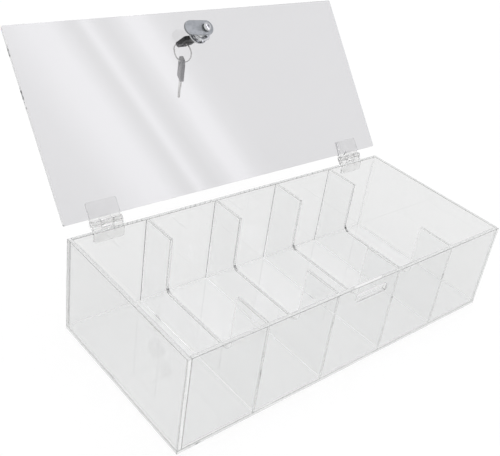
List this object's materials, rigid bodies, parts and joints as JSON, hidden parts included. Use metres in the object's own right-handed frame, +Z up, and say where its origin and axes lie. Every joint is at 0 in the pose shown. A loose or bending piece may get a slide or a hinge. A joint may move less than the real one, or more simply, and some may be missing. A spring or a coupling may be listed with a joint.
{
  "type": "cash tray",
  "caption": "Clear acrylic cash tray with open compartments, low dividers, a hinged flat lid and a cam lock with its key in.",
  "frame": {"origin": "centre of the underside of the box", "axes": "+X along the long side, with the hinges at the back; +Y towards the hinge side; +Z up"},
  "size_m": [0.392, 0.3211, 0.2435],
  "materials": {
    "clear_acrylic": "polished",
    "clear_hinge_plastic": "moulded",
    "chrome_plate": "polished",
    "plug_brass": "machined",
    "zinc_plated_cam": "zinc plated",
    "nickel_key_blade": "nickel plated",
    "black_key_head": "moulded",
    "grey_key_head": "moulded"
  },
  "bodies": {
    "box": {"base_panel": "clear_acrylic", "front_wall": "clear_acrylic", "back_wall": "clear_acrylic", "left_wall": "clear_acrylic", "right_wall": "clear_acrylic", "divider_1": "clear_acrylic", "divider_2": "clear_acrylic", "divider_3": "clear_acrylic", "divider_4": "clear_acrylic", "left_hinge_box_leaf": "clear_hinge_plastic", "right_hinge_box_leaf": "clear_hinge_plastic", "left_hinge_pin": "clear_hinge_plastic", "right_hinge_pin": "clear_hinge_plastic"},
    "lid": {"lid_panel": "clear_acrylic", "left_hinge_lid_leaf": "clear_hinge_plastic", "right_hinge_lid_leaf": "clear_hinge_plastic", "lock_barrel": "chrome_plate", "lock_tooth_washer": "chrome_plate", "lock_nut": "chrome_plate"},
    "lock": {"lock_plug": "plug_brass", "lock_wafer_1": "plug_brass", "lock_wafer_2": "plug_brass", "lock_wafer_3": "plug_brass", "lock_wafer_4": "plug_brass", "lock_stop_washer": "zinc_plated_cam", "cam": "zinc_plated_cam", "cam_spring_washer": "chrome_plate", "cam_screw": "chrome_plate"},
    "key": {"key_blade": "nickel_key_blade", "key_head": "black_key_head"},
    "ring": {"key_ring": "nickel_key_blade"},
    "spare": {"spare_key_blade": "nickel_key_blade", "spare_key_head": "grey_key_head"}
  },
  "joints": [
    {"name": "lid_hinge", "type": "hinge", "parent": "box", "child": "lid", "pos_m": [0, 0.0943, 0.1008], "axis": [1, 0, 0], "range_deg": [0, 129.5]},
    {"name": "lock_turn", "type": "hinge", "parent": "lid", "child": "lock", "pos_m": [0.0022, 0.1955, 0.22435], "axis": [0, 0.7716, -0.6361], "range_deg": [-4.6, 85.4]},
    {"name": "key_slide", "type": "slide", "parent": "lock", "child": "key", "axis": [0, 0.7716, -0.6361], "range_m": [0, 0.0135]},
    {"name": "ring_swing", "type": "hinge", "parent": "key", "child": "ring", "pos_m": [0.00326, 0.22108, 0.20546], "axis": [-0.3907, 0.9205, 0], "range_deg": [-15, 30]},
    {"name": "spare_swing", "type": "hinge", "parent": "ring", "child": "spare", "pos_m": [0.00326, 0.22108, 0.18426], "axis": [-0.3907, 0.9205, 0], "range_deg": [-35, 35]}
  ]
}
